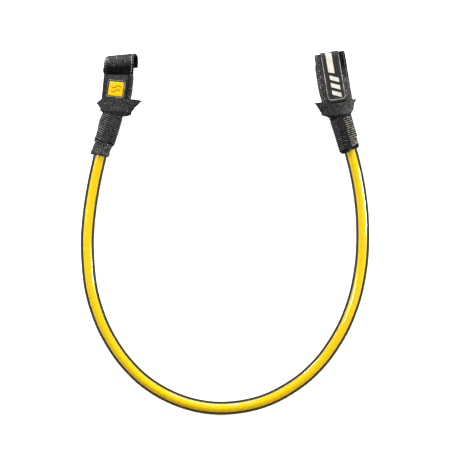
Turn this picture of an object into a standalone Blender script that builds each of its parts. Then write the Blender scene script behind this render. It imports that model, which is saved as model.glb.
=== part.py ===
"""Windsurf harness line: a rope in a clear tube, with a sewn webbing boom strap at each end.

The line lies flat on a surface at z = 0 in a U. X runs across the U, Y runs up towards the
boom straps, +Z is up. The origin is at floor level under the middle of the two terminals.

Each terminal is drawn in its own frame: x is v, across the strap, y is u, from the neck to
the crown, and z is w, out of the front face that carries the square badge.
"""
import math

import bmesh
import bpy
from mathutils import Matrix, Vector

MM = 0.001

# Line
TUBE_OD = 10.5
TUBE_WALL = 1.55
ROPE_D = 6.8
TUBE_IN_NECK = 15.0
ROPE_PAST_TUBE = 12.0
ROUTE_POINTS = 49
LAYOUT_ORIGIN = (0.25, 100.5)  # floor point under the middle of the terminals

# Centre line of the U between the two necks, seen from above, in layout millimetres
ROUTE = [
    (-105.4, 47.5), (-108.4, 34.3), (-111.4, 17.1), (-113.2, 0.8), (-113.9, -13.1),
    (-113.2, -32.0), (-111.1, -50.1), (-107.0, -66.4), (-99.6, -85.3), (-88.1, -104.6),
    (-74.7, -120.3), (-60.5, -131.9), (-43.7, -141.1), (-25.3, -147.2), (-4.9, -149.6),
    (17.3, -147.5), (38.8, -140.6), (60.0, -128.0), (75.0, -114.5), (86.7, -99.6),
    (98.0, -79.7), (106.3, -56.7), (111.0, -32.0), (112.3, -11.5), (111.9, 7.8), (110.5, 22.3),
    (108.3, 36.1), (105.3, 49.5),
]

# Terminal shared sizes
STRAP_W = 25.6
STRAP_T = 1.8
PLY_T = 1.1
PANEL_T = 1.6
PANEL_LIP_U = 25.2
FLAP_ROOT_U = 6.3
STRAP_ROOT_U = 2.9
BADGE_LEN = 41.0
RIB_PITCH = 1.7

# Per terminal: where the collar centre lies, how the head and neck lean in the plane, how far
# the head is turned about its own length, and how its strap and ears are flexed
TERMINALS = {
    "left": dict(
        collar=(-90.3, 98.0, 11.6), lean=-5.5, roll=-29.0, pitch=-0.2,
        neck_at=(-89.8, 98.0), neck_lean=-18.2, neck_len=41.0, neck_bottom_z=9.2,
        ply_ends=(-31.0, -32.5), strap_shift=1.6, strap_skew=0.12,
        strap_twist=16.0, strap_slide=0.9, strap_path=[
            (-7.0, -1.0), (2.9, -1.0), (12.0, -1.0), (17.0, -1.0), (22.5, -0.9), (26.2, 0.5),
            (29.8, 2.5), (33.2, 3.7), (36.6, 4.0), (38.9, 3.38), (40.58, 1.7), (41.2, -0.6),
            (40.58, -2.9), (38.9, -4.58), (36.6, -5.2), (32.9, -5.7)],
        crest_u=42.1, tail_side=-1, ear_pos=(20.3, 4.5, -6.0), ear_neg=(-17.4, 1.8, 0.6),
    ),
    "right": dict(
        collar=(91.9, 98.0, 7.5), lean=9.3, roll=180.0, pitch=-0.3,
        neck_at=(91.0, 98.0), neck_lean=16.8, neck_len=38.0, neck_bottom_z=8.8,
        ply_ends=(-28.0, -37.3), strap_shift=0.3, strap_skew=0.0,
        strap_twist=0.0, strap_slide=0.0, strap_path=[
            (-7.0, -1.0), (2.9, -1.0), (12.0, -1.0), (24.0, -1.0), (33.0, -1.1),
            (40.6, -1.2), (42.25, -0.76), (43.46, 0.45), (43.9, 2.1), (43.46, 3.75),
            (42.25, 4.96), (40.6, 5.4), (37.6, 5.7)],
        crest_u=44.8, tail_side=1, ear_pos=(18.6, 5.7, -0.6), ear_neg=(-15.4, 2.4, -0.6),
    ),
}

COLORS = {
    "nylon_webbing": ((0.030, 0.031, 0.034), 0.85),
    "bartack_thread": ((0.045, 0.045, 0.048), 0.7),
    "hook_and_loop": ((0.018, 0.018, 0.019), 0.95),
    "badge_rubber": ((0.055, 0.056, 0.058), 0.55),
    "badge_frame_rubber": ((0.30, 0.31, 0.34), 0.45),
    "badge_yellow": ((0.95, 0.60, 0.0), 0.45),
    "clear_tube": ((0.85, 0.86, 0.88), 0.08),
    "yellow_rope": ((0.95, 0.62, 0.0), 0.6),
    "whipping_twine": ((0.35, 0.33, 0.28), 0.8),
}


def clear_scene():
    for ob in list(bpy.data.objects):
        bpy.data.objects.remove(ob, do_unlink=True)
    for coll in list(bpy.data.collections):
        bpy.data.collections.remove(coll)


def make_material(name):
    mat = bpy.data.materials.get(name)
    if mat is None:
        mat = bpy.data.materials.new(name)
        mat.use_nodes = True
        shader = mat.node_tree.nodes["Principled BSDF"]
        color, rough = COLORS[name]
        shader.inputs["Base Color"].default_value = (*color, 1.0)
        shader.inputs["Roughness"].default_value = rough
        shader.inputs["Metallic"].default_value = 0.0
        if name == "clear_tube":
            shader.inputs["Transmission Weight"].default_value = 1.0
    return mat


def make_empty(name, parent=None, location=(0, 0, 0), rotation=None):
    ob = bpy.data.objects.new(name, None)
    COLLECTION.objects.link(ob)
    ob.parent = parent
    ob.location = [c * MM for c in location]
    if rotation is not None:
        ob.rotation_euler = rotation.to_euler()
    return ob


def add_object(name, data, parent, material):
    ob = bpy.data.objects.new(name, data)
    COLLECTION.objects.link(ob)
    ob.parent = parent
    ob.data.materials.append(make_material(material))
    return ob


def catmull(points, per_span=10):
    """A smooth curve through the points, as a list of vectors."""
    pts = [Vector(p) for p in points]
    pts = [2 * pts[0] - pts[1], *pts, 2 * pts[-1] - pts[-2]]
    out = []
    for i in range(1, len(pts) - 2):
        p0, p1, p2, p3 = pts[i - 1: i + 3]
        for k in range(per_span):
            t = k / per_span
            out.append(0.5 * ((2 * p1) + (p2 - p0) * t + (2 * p0 - 5 * p1 + 4 * p2 - p3) * t ** 2
                              + (3 * p1 - p0 - 3 * p2 + p3) * t ** 3))
    out.append(pts[-2].copy())
    return out


def lengths(curve):
    run = [0.0]
    for a, b in zip(curve, curve[1:]):
        run.append(run[-1] + (b - a).length)
    return run


def at_length(curve, run, s):
    """Point at distance s along a polyline."""
    s = min(max(s, 0.0), run[-1])
    for i in range(len(curve) - 1):
        if s <= run[i + 1] or i == len(curve) - 2:
            f = (s - run[i]) / max(run[i + 1] - run[i], 1e-9)
            return curve[i].lerp(curve[i + 1], f)


def resample(curve, count):
    run = lengths(curve)
    return [at_length(curve, run, run[-1] * i / (count - 1)) for i in range(count)]


def sheet(name, parent, surface, across, along, thickness, material, pivot=(0, 0, 0)):
    """A ply of cloth or rubber: a grid laid on surface(s, t), s in -1..1, t in 0..1, then
    thickened evenly about that surface."""
    mesh = bpy.data.meshes.new(name)
    bm = bmesh.new()
    bmesh.ops.create_grid(bm, x_segments=across, y_segments=along, size=1.0)
    for vert in bm.verts:
        s, t = vert.co.x, (vert.co.y + 1) / 2
        vert.co = (Vector(surface(s, t)) - Vector(pivot)) * MM
    bm.normal_update()
    bm.to_mesh(mesh)
    bm.free()
    ob = add_object(name, mesh, parent, material)
    mod = ob.modifiers.new("Thickness", "SOLIDIFY")
    mod.thickness = thickness * MM
    mod.offset = 0.0
    mod.use_even_offset = True
    ob.data.shade_smooth()
    return ob


def slab(name, parent, size, centre, material, pivot=(0, 0, 0), radius=1.5, corner=3):
    """A flat rounded plate: a filled outline with an extrude of half its thickness."""
    width, height, thick = size
    curve = bpy.data.curves.new(name, "CURVE")
    curve.dimensions = "2D"
    curve.fill_mode = "BOTH"
    curve.extrude = thick / 2 * MM
    add_outline(curve, width, height, radius, corner)
    ob = add_object(name, curve, parent, material)
    ob.location = (Vector(centre) - Vector(pivot)) * MM
    return ob


def add_outline(curve, width, height, radius, corner):
    pts = []
    for cx, cy, a0 in ((1, 1, 0), (-1, 1, 90), (-1, -1, 180), (1, -1, 270)):
        for k in range(corner + 1):
            a = math.radians(a0 + 90 * k / corner)
            pts.append((cx * (width / 2 - radius) + radius * math.cos(a),
                        cy * (height / 2 - radius) + radius * math.sin(a)))
    spline = curve.splines.new("POLY")
    spline.points.add(len(pts) - 1)
    for point, (x, y) in zip(spline.points, pts):
        point.co = (x * MM, y * MM, 0, 1)
    spline.use_cyclic_u = True


def frame_ring(name, parent, outer, inner, thick, centre, material, pivot):
    curve = bpy.data.curves.new(name, "CURVE")
    curve.dimensions = "2D"
    curve.fill_mode = "BOTH"
    curve.extrude = thick / 2 * MM
    add_outline(curve, outer[0], outer[1], 1.6, 3)
    add_outline(curve, inner[0], inner[1], 0.5, 2)
    ob = add_object(name, curve, parent, material)
    ob.location = (Vector(centre) - Vector(pivot)) * MM
    return ob


def path_frame(curve, run, s):
    """Point and unit normal, turned 90 degrees from the direction of travel, in the u-w plane."""
    p = at_length(curve, run, s)
    a, b = at_length(curve, run, s - 0.4), at_length(curve, run, s + 0.4)
    d = (b - a).normalized()
    return p, Vector((-d.y, d.x))


def run_at(curve, run, test):
    """Distance along the path where test(point) first holds."""
    for i, p in enumerate(curve):
        if test(p):
            return run[i]
    return run[-1]


def ramp(value, start, stop):
    """Rises smoothly from 0 at start to 1 at stop."""
    f = min(max((value - start) / (stop - start), 0.0), 1.0)
    return f * f * (3 - 2 * f)


def neck_section(u, neck_len):
    """Half sizes of the sleeve's oval at u: round where the tube sits, flat under the collar."""
    f = min(max((u + neck_len - 16.0) / 20.0, 0.0), 1.0)
    f = f * f * (3 - 2 * f)
    return 7.5 + 0.5 * f, 6.35 - 3.15 * f


def oval_shell(name, parent, section, u0, u1, sides, levels, wall, material):
    """An open-ended oval sleeve along u, thickened inwards from its outer half sizes."""
    mesh = bpy.data.meshes.new(name)
    bm = bmesh.new()
    bmesh.ops.create_grid(bm, x_segments=sides, y_segments=levels, size=1.0)
    for vert in bm.verts:
        a = math.pi * vert.co.x
        u = u0 + (u1 - u0) * (vert.co.y + 1) / 2
        a_half, b_half = section(u)
        vert.co = Vector((math.cos(a) * a_half, u, math.sin(a) * b_half)) * MM
    bmesh.ops.remove_doubles(bm, verts=bm.verts, dist=0.00005)
    bmesh.ops.recalc_face_normals(bm, faces=bm.faces)
    bm.to_mesh(mesh)
    bm.free()
    ob = add_object(name, mesh, parent, material)
    mod = ob.modifiers.new("Wall", "SOLIDIFY")
    mod.thickness = wall * MM
    mod.offset = -1.0
    ob.data.shade_smooth()
    return ob


def neck_shell(name, parent, span, u0, u1, lift, thick, material, neck_len, across, along,
               ribs=False, centre_angle=90.0):
    """Part of the sleeve's circumference, raised above it, between two levels."""
    def surface(s, t):
        u = u1 + (u0 - u1) * t
        a_half, b_half = neck_section(u, neck_len)
        a = math.radians(centre_angle + s * span)
        rise = lift
        if ribs:
            rise += 0.28 * (1 if round(t * (along - 1)) % 2 else -1)
        nx, nz = math.cos(a) * b_half, math.sin(a) * a_half
        n = math.hypot(nx, nz)
        return (math.cos(a) * a_half + rise * nx / n, u, math.sin(a) * b_half + rise * nz / n)
    return sheet(name, parent, surface, across, along, thick, material)


def build_terminal(side, spec, root):
    pre = side + "_"
    cx, cy, cz = spec["collar"]
    head_rot = (Matrix.Rotation(math.radians(spec["lean"]), 3, "Z")
                @ Matrix.Rotation(math.radians(spec["pitch"]), 3, "X")
                @ Matrix.Rotation(math.radians(spec["roll"]), 3, "Y"))
    head = make_empty(pre + "head_frame", root, (cx, cy, cz), head_rot)
    length = spec["neck_len"]
    drop = cz - spec["neck_bottom_z"]
    neck_rot = (Matrix.Rotation(math.radians(spec["neck_lean"]), 3, "Z")
                @ Matrix.Rotation(math.asin(drop / length), 3, "X")
                @ Matrix.Rotation(math.radians(spec["roll"]), 3, "Y"))
    neck = make_empty(pre + "neck_frame", root, (*spec["neck_at"], cz), neck_rot)

    # Sleeve: an oval shell open at both ends, its bore takes the tube and then the rope
    oval_shell(pre + "neck_sleeve", neck, lambda u: neck_section(u, length), -length, -5.6, 16, 7,
               0.6, "nylon_webbing")

    # Two plies of webbing laid over the sleeve, and the dense zigzag stitching on their margins
    front_end, back_end = spec["ply_ends"]
    neck_shell(pre + "neck_front_ply", neck, 70, front_end, -5.7, 0.9, PLY_T,
               "nylon_webbing", length, 8, 5)
    neck_shell(pre + "neck_back_ply", neck, 70, back_end, -5.7, 0.9, PLY_T,
               "nylon_webbing", length, 8, 7, centre_angle=270.0)
    for face, centre, end, start in (("front", 90.0, front_end + 0.6, -8.4),
                                     ("back", 270.0, back_end + 0.6, -11.4)):
        rows = 2 * round((start - end) / RIB_PITCH) + 1
        for edge, offset in (("inner", -44.0), ("outer", 44.0)):
            neck_shell(f"{pre}bartack_{face}_{edge}", neck, 18, end, start, 2.25, 0.5,
                       "bartack_thread", length, 2, rows, ribs=True,
                       centre_angle=centre + offset)

    # Whipping on the rope above the tube's end
    middle = -length + TUBE_IN_NECK + 6.5
    radius = ROPE_D / 2 + 0.9
    oval_shell(pre + "rope_whipping", neck, lambda u: (radius, radius), middle - 3.0,
               middle + 3.0, 12, 1, 0.6, "whipping_twine")

    # Collar: a flared back ply and a front band that meet in two pointed ears
    ear_p, ear_n = spec["ear_pos"], spec["ear_neg"]

    def collar_back(s, t):
        ear = ear_p if s > 0 else ear_n
        low = 12.6 if s > 0 else -10.0
        flare = t ** 1.7
        v = abs(s) * (low + (ear[0] - low) * flare)
        u_bottom = -8.0 + 0.9 * s * s
        u_top = 2.0 + (ear[1] - 2.0) * abs(s) ** 1.7
        u = u_bottom + (u_top - u_bottom) * t
        bend = abs(s) ** 2.6
        w_mid = -6.5 - 0.4 * t
        w_edge = -3.4 + (ear[2] - 0.9 + 3.4) * flare
        return v, u, w_mid + (w_edge - w_mid) * bend

    sheet(pre + "collar_back_ply", head, collar_back, 12, 6, 1.1, "nylon_webbing")

    def collar_front(s, t):
        ear = ear_p if s > 0 else ear_n
        u_bottom = -5.4
        face_top = 5.9
        if abs(s) <= 0.6:
            f = s / 0.6
            v = f * (12.4 if s > 0 else 10.6)
            w = 5.9 - 0.9 * t - 0.9 * abs(f) ** 3
            return v, u_bottom + (face_top - u_bottom) * t, w
        f = (abs(s) - 0.6) / 0.4
        v0 = 12.4 if s > 0 else -10.6
        reach = v0 + (ear[0] - 0.9 * math.copysign(1, s) - v0) * (0.2 + 0.8 * t ** 1.3)
        v = v0 + (reach - v0) * f
        top = face_top + (ear[1] - 0.1 - face_top) * f ** 0.8
        u = u_bottom + (top - u_bottom) * t
        w0 = 5.0 - 0.9 * t
        w1 = -0.6 + (ear[2] + 1.1 + 0.6) * t
        return v, u, w0 + (w1 - w0) * f
    sheet(pre + "collar_front_band", head, collar_front, 10, 4, 1.1, "nylon_webbing")

    # Boom strap: a fixed root inside the collar, the strap, and the tail past the crown
    path = catmull([Vector((u, w)) for u, w in spec["strap_path"]], 8)
    run = lengths(path)
    s_root = run_at(path, run, lambda p: p.x >= STRAP_ROOT_U)
    crest = max(range(len(path)), key=lambda i: path[i].x)
    s_crest = run[crest]
    tail_side = spec["tail_side"]
    strap_pivot = (0.0, STRAP_ROOT_U - 0.3, -7.9)
    tail_pivot = (0.0, spec["crest_u"], path[crest].y)
    flap_pivot = (0.0, FLAP_ROOT_U - 0.2, 5.8)
    strap_frame = make_empty(pre + "strap_pivot", head, strap_pivot)
    tail_frame = make_empty(pre + "tail_pivot", strap_frame,
                            Vector(tail_pivot) - Vector(strap_pivot))
    flap_frame = make_empty(pre + "flap_pivot", head, flap_pivot)
    make_empty(pre + "grip_face", head, (3.0, 8.0, -1.0 - STRAP_T / 2 - 0.4 - 1.1))

    def strap_surface(s_from, s_to, lift=0.0, half=STRAP_W / 2, round_end=0.0,
                      ease=0):
        def surface(s, t):
            f = 1 - (1 - t) ** 1.6 if ease > 0 else t ** 1.6 if ease < 0 else t
            dist = s_from + (s_to - s_from) * f
            p, n = path_frame(path, run, dist)
            wide = half
            if round_end:
                near = min((dist - s_from) / round_end, 1.0)
                wide = half * (0.72 + 0.28 * math.sqrt(max(1 - (1 - near) ** 2, 0.0)))
            loose = ramp(dist - s_root, 21, 29.5) * (1 - 0.65 * ramp(dist - s_root, 30, 42))
            v = (wide * s + spec["strap_shift"] * min(max(dist - s_root, 0.0) / 8.0, 1.0)
                 - spec["strap_slide"] * loose)
            skew = spec["strap_skew"] * v * min(max((p.x - 20.0) / 15.0, 0.0), 1.0)
            w = p.y + lift * n.y
            turn = math.radians(spec["strap_twist"]) * loose
            return (v * math.cos(turn) + w * math.sin(turn), p.x + lift * n.x + skew,
                    w * math.cos(turn) - v * math.sin(turn))
        return surface

    sheet(pre + "strap_root", head, strap_surface(
        run_at(path, run, lambda p: p.x >= -2.6), s_root - 0.3, half=10.0), 2, 2, STRAP_T,
        "nylon_webbing")
    sheet(pre + "boom_strap", strap_frame, strap_surface(s_root, s_crest - 0.2, ease=1), 2, 24, STRAP_T,
          "nylon_webbing", strap_pivot)
    sheet(pre + "strap_tail", tail_frame, strap_surface(s_crest + 0.2, run[-1], ease=-1), 2, 9, STRAP_T,
          "nylon_webbing", tail_pivot)
    gap = STRAP_T / 2 + 0.4
    sheet(pre + "grip_badge", strap_frame,
          strap_surface(s_root + 0.4, s_root + 0.4 + BADGE_LEN, -(gap + 0.55), 7.6, 3.5, 1), 2, 22,
          1.1, "badge_rubber", strap_pivot)
    slab(pre + "strap_hook_patch", strap_frame, (21.0, 14.5, 0.6), (0, 15.0, 0.5),
         "hook_and_loop", strap_pivot)

    # Front flap with its hook-and-loop patch and square badge, hinged on the collar's top edge
    slab(pre + "flap_loop_patch", flap_frame, (21.0, 14.5, 0.6), (0, 15.0, 1.4),
         "hook_and_loop", flap_pivot)
    panel_w, panel_h = 23.6, PANEL_LIP_U - FLAP_ROOT_U
    slab(pre + "front_flap", flap_frame, (panel_w, panel_h, PANEL_T),
         (-0.7, FLAP_ROOT_U + panel_h / 2, 2.8), "nylon_webbing", flap_pivot, 1.2)
    badge_at, turn = (2.1, 13.6), math.radians(-3.5)
    for ob in (
        slab(pre + "badge_base", flap_frame, (17.4, 14.3, 0.5), (*badge_at, 4.15),
             "badge_frame_rubber", flap_pivot, 1.4),
        frame_ring(pre + "badge_frame", flap_frame, (17.4, 14.3), (14.6, 12.1), 0.7,
                   (*badge_at, 5.05), "badge_frame_rubber", flap_pivot),
        slab(pre + "badge_insert", flap_frame, (14.0, 11.5, 0.6), (*badge_at, 5.0),
             "badge_yellow", flap_pivot, 0.4, 2),
    ):
        ob.rotation_euler.z = turn
    return neck


def solid_rod(name, points, radius, material, root):
    """A round cord along a polyline, with closed ends."""
    curve = bpy.data.curves.new(name, "CURVE")
    curve.dimensions = "3D"
    curve.bevel_depth = radius * MM
    curve.bevel_resolution = 2
    curve.use_fill_caps = True
    spline = curve.splines.new("POLY")
    spline.points.add(len(points) - 1)
    for point, co in zip(spline.points, points):
        point.co = (*(Vector(co) * MM), 1)
    return add_object(name, curve, root, material)


def hollow_tube(name, points, outer, wall, material, root):
    """The same cord as an open-ended pipe: the outer skin, thickened inwards."""
    rod = solid_rod(name + "_skin", points, outer, material, root)
    rod.data.use_fill_caps = False
    rod.data.bevel_resolution = 3
    graph = bpy.context.evaluated_depsgraph_get()
    mesh = bpy.data.meshes.new_from_object(rod.evaluated_get(graph), depsgraph=graph)
    mesh.name = name
    curve = rod.data
    bpy.data.objects.remove(rod, do_unlink=True)
    bpy.data.curves.remove(curve)
    mesh.materials.clear()
    ob = add_object(name, mesh, root, material)
    mod = ob.modifiers.new("Wall", "SOLIDIFY")
    mod.thickness = wall * MM
    mod.offset = -1.0
    ob.data.shade_smooth()
    return ob


def neck_point(spec, along):
    """A point on the neck's axis, along millimetres up from its lower end, in layout space."""
    length, (x, y), cz = spec["neck_len"], spec["neck_at"], spec["collar"][2]
    lean = math.radians(spec["neck_lean"])
    pitch = math.asin((cz - spec["neck_bottom_z"]) / length)
    back = length - along
    d = Vector((-math.sin(lean) * math.cos(pitch), math.cos(lean) * math.cos(pitch),
                math.sin(pitch)))
    return Vector((x, y, cz)) - d * back


def line_route(extra):
    """The cord's route from inside one neck round the U into the other."""
    left, right = TERMINALS["left"], TERMINALS["right"]
    inside = [a for a in (TUBE_IN_NECK + extra, 7.0, 0.0) if a <= TUBE_IN_NECK + extra]
    pts = [neck_point(left, a) for a in inside]
    rest_z = TUBE_OD / 2 - 0.2
    for x, y in ROUTE:
        near = min(max((y - 10.0) / 45.0, 0.0), 1.0) ** 2
        end_z = (left if x < 0 else right)["neck_bottom_z"]
        pts.append(Vector((x, y, rest_z + (end_z - rest_z) * near)))
    pts += [neck_point(right, a) for a in reversed(inside)]
    return pts


clear_scene()
COLLECTION = bpy.data.collections.new("harness_line")
bpy.context.scene.collection.children.link(COLLECTION)
layout = make_empty("layout", None, (-LAYOUT_ORIGIN[0], -LAYOUT_ORIGIN[1], 0.0))
for side_name, side_spec in TERMINALS.items():
    build_terminal(side_name, side_spec, layout)
bpy.context.view_layer.update()
hollow_tube("tube", resample(catmull(line_route(0.0)), ROUTE_POINTS), TUBE_OD / 2, TUBE_WALL,
            "clear_tube", layout)
solid_rod("rope", resample(catmull(line_route(ROPE_PAST_TUBE)), ROUTE_POINTS), ROPE_D / 2,
          "yellow_rope", layout)
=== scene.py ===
"""Windsurf harness line: rope in a clear tube, with a sewn webbing boom strap at each end.

Sizes are in millimetres. Each terminal is drawn in its own frame, as its CAD is: x is v, across
the strap, y is u, from the neck to the crown, and z is w, out of the face with the square badge.
"""
import math
import random

import bmesh
import bpy
import numpy as np
from mathutils import Matrix, Vector


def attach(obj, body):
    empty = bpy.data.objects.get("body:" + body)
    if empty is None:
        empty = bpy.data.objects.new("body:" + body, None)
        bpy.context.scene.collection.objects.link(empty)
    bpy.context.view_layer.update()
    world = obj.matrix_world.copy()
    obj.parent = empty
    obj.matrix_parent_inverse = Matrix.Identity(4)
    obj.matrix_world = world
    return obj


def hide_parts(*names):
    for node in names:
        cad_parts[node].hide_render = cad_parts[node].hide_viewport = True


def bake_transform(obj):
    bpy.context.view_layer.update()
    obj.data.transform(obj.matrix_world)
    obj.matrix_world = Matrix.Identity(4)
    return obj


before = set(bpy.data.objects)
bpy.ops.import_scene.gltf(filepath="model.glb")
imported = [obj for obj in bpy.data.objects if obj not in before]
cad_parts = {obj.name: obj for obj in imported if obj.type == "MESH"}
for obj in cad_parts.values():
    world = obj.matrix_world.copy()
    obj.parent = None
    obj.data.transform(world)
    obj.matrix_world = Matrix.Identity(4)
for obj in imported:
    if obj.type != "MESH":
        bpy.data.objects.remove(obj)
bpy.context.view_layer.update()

MM = 0.001
LAYOUT_ORIGIN = (0.25, 100.5)  # floor point under the middle of the terminals, in layout mm

# Line
TUBE_OD = 10.9
TUBE_WALL = 1.55
ROPE_D = 6.8
TUBE_IN_NECK = 15.0
ROPE_PAST_TUBE = 12.0
ROUTE = [
    (-105.4, 47.5), (-108.4, 34.3), (-111.4, 17.1), (-113.2, 0.8), (-113.9, -13.1),
    (-113.2, -32.0), (-111.1, -50.1), (-107.0, -66.4), (-99.6, -85.3), (-88.1, -104.6),
    (-74.7, -120.3), (-60.5, -131.9), (-43.7, -141.1), (-25.3, -147.2), (-4.9, -149.6),
    (17.3, -147.5), (38.8, -140.6), (60.0, -128.0), (75.0, -114.5), (86.7, -99.6),
    (98.0, -79.7), (106.3, -56.7), (111.0, -32.0), (112.3, -11.5), (111.9, 7.8), (110.5, 22.3),
    (108.3, 36.1), (105.3, 49.5),
]

# Terminal shared sizes
STRAP_W = 25.6
STRAP_T = 1.8
PLY_T = 1.1
PANEL_T = 1.6
PANEL_LIP_U = 25.2
STRAP_ROOT_U = 2.9
BADGE_LEN = 41.0
RIB_PITCH = 1.7
FLAP_W = 23.6
FLAP_FOOT_U = 5.4
BADGE_FOOT = 0.4  # from the strap's root up to the grip badge
THREAD_CLEARANCE = 0.02

# Studio, in metres
CAMERA_HEIGHT = 1.0366
FLOOR_Z = -0.0004
FLOOR_HALF = 3.0


def ramp(value, start, stop):
    """Rises smoothly from 0 at start to 1 at stop."""
    f = np.clip((value - start) / (stop - start), 0, 1)
    return f * f * (3 - 2 * f)


def left_margin(dist, s):
    """How much wider the strap lies than it was woven, dist mm above its root."""
    return 1.7 * (s < 0) * ramp(dist, 15, 22) * (1 - ramp(dist, 24.5, 31))


def right_margin(dist, s):
    """As left_margin, for the right terminal's strap."""
    return (s > 0) * (0.7 * ramp(dist, 4, 12) - 1.6 * ramp(dist, 29, 38))


TERMINALS = {
    "left": dict(
        margin=left_margin, collar=(-90.3, 98.0, 11.6), lean=-5.5, roll=-29.0, pitch=-0.2,
        neck_at=(-89.8, 98.0), neck_lean=-18.2, neck_len=41.0, neck_bottom_z=9.2,
        neck_twist=8.0, cuff_shift=-0.7, rib_turn=-27.0, cuff_skew=0.14,
        cuff_drop=1.2, neck_flare=0.13,
        ply_ends=(-31.0, -32.5), strap_shift=1.6, strap_skew=0.12, strap_twist=16.0,
        strap_slide=0.9,
        strap_path=[
            (-7.0, -1.0), (2.9, -1.0), (12.0, -1.0), (17.0, -1.0), (22.5, -0.9), (26.2, 0.5),
            (29.8, 2.5), (33.2, 3.7), (36.6, 4.0), (38.9, 3.38), (40.58, 1.7), (41.2, -0.6),
            (40.58, -2.9), (38.9, -4.58), (36.6, -5.2), (32.9, -5.7), (31.4, -5.9)],
        ear_pos=(21.5, 6.2, -6.0), ear_neg=(-18.9, 1.9, 0.6),
    ),
    "right": dict(
        margin=right_margin, collar=(91.9, 98.0, 7.5), lean=9.3, roll=180.0, pitch=-0.3,
        neck_at=(91.0, 98.0), neck_lean=16.8, neck_len=38.0, neck_bottom_z=8.8,
        neck_twist=0.0, cuff_shift=0.0, rib_turn=12.0, cuff_skew=-0.11,
        cuff_drop=-0.7, neck_flare=0.0,
        ply_ends=(-28.0, -37.3), strap_shift=0.3, strap_skew=0.0, strap_twist=0.0,
        strap_slide=0.0,
        strap_path=[
            (-7.0, -1.0), (2.9, -1.0), (12.0, -1.0), (24.0, -1.0), (33.0, -1.1),
            (40.6, -1.2), (42.25, -0.76), (43.46, 0.45), (43.9, 2.1), (43.46, 3.75),
            (42.25, 4.96), (40.6, 5.4), (37.6, 5.7)],
        ear_pos=(19.4, 6.0, -0.6), ear_neg=(-15.8, 3.6, -0.6),
    ),
}


# ---------------------------------------------------------------- camera, floor and lights

def place_camera():
    data = bpy.data.cameras.new("overhead")
    data.lens = 100.0
    data.sensor_width = 36.0
    camera = bpy.data.objects.new("overhead", data)
    camera.location = (-LAYOUT_ORIGIN[0] * MM, -LAYOUT_ORIGIN[1] * MM, CAMERA_HEIGHT)
    bpy.context.scene.collection.objects.link(camera)
    bpy.context.scene.camera = camera


def soft_box(name, at, aim, size, power):
    data = bpy.data.lights.new(name, "AREA")
    data.shape = "RECTANGLE"
    data.size, data.size_y = size
    data.energy = power
    light = bpy.data.objects.new(name, data)
    light.location = at
    light.rotation_euler = (Vector(aim) - Vector(at)).to_track_quat("-Z", "Y").to_euler()
    bpy.context.scene.collection.objects.link(light)


place_camera()


# ---------------------------------------------------------------- node helper and materials

def linear(code):
    """sRGB hex to a linear colour."""
    parts = [int(code[i:i + 2], 16) / 255 for i in (1, 3, 5)]
    return (*(c / 12.92 if c <= 0.04045 else ((c + 0.055) / 1.055) ** 2.4 for c in parts), 1.0)


def put(tree, kind, sockets=None, **settings):
    """Adds a node. Settings are its own properties. Sockets pairs an input, by name or number,
    with a value or with the output that feeds it."""
    made = tree.nodes.new(kind)
    for key, value in settings.items():
        setattr(made, key, value)
    for key, value in (sockets or {}).items():
        if isinstance(value, bpy.types.NodeSocket):
            tree.links.new(value, made.inputs[key])
        else:
            made.inputs[key].default_value = value
    return made


def blank_material(name):
    material = bpy.data.materials.new(name)
    material.use_nodes = True
    tree = material.node_tree
    tree.nodes.clear()
    return material, tree, put(tree, "ShaderNodeOutputMaterial")


def calc(tree, operation, *values):
    """One step of arithmetic on numbers and outputs."""
    return put(tree, "ShaderNodeMath", dict(enumerate(values)), operation=operation).outputs[0]


def spread(tree, value, low, high, to_low=0.0, to_high=1.0, **settings):
    """Takes the range low to high to the range to_low to to_high, and holds beyond it."""
    return put(tree, "ShaderNodeMapRange",
               {"Value": value, "From Min": low, "From Max": high, "To Min": to_low,
                "To Max": to_high}, **settings).outputs[0]


def tint(tree, share, first, second):
    """Mixes two colours, each a hex code, a colour or an output."""
    first, second = (linear(c) if isinstance(c, str) else c for c in (first, second))
    return put(tree, "ShaderNodeMix", {0: share, 6: first, 7: second},
               data_type="RGBA").outputs[2]


def noise(tree, scale, detail, roughness=0.5):
    place = put(tree, "ShaderNodeTexCoord").outputs["Object"]
    return put(tree, "ShaderNodeTexNoise", {"Vector": place, "Scale": scale, "Detail": detail,
                                            "Roughness": roughness}).outputs["Fac"]


def dents(tree, height, strength, depth):
    return put(tree, "ShaderNodeBump", {"Height": height, "Strength": strength,
                                        "Distance": depth}).outputs[0]


def face_with(tree, out, colour, rough, gloss, **others):
    """Ends a material in one plain shader. Others are its further sockets, _ for a space."""
    sockets = {"Base Color": colour, "Roughness": rough, "Specular IOR Level": gloss}
    sockets.update({key.replace("_", " "): value for key, value in others.items()})
    shader = put(tree, "ShaderNodeBsdfPrincipled", sockets)
    tree.links.new(shader.outputs[0], out.inputs[0])


def paint_light_bands(tree, colour, axes, painted_light, across):
    """Paints light and shade on a cloth's colour: brightens or darkens it by the stops along it,
    only within across where it is given.
    """
    reach = painted_light[-1][0]
    most = 3.0
    painted_ramp = put(tree, "ShaderNodeValToRGB", {0: calc(tree, "DIVIDE", axes[1], reach)})
    stops = painted_ramp.color_ramp.elements
    painted_ramp.color_ramp.interpolation = "EASE"
    for k, (at, _) in enumerate(painted_light):
        stop = stops[k] if k < 2 else stops.new(at / reach)
        stop.position = at / reach
    for stop, (_, strength) in zip(stops, painted_light):
        stop.color = (*[strength / most] * 3, 1.0)
    level = put(tree, "ShaderNodeVectorMath", {0: painted_ramp.outputs[0], "Scale": most},
                operation="SCALE").outputs[0]
    if across:
        part = spread(tree, axes[0], *across)
        level = tint(tree, part, (1.0, 1.0, 1.0, 1.0), level)
    return put(tree, "ShaderNodeVectorMath", {0: colour, 1: level},
               operation="MULTIPLY").outputs[0]


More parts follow.
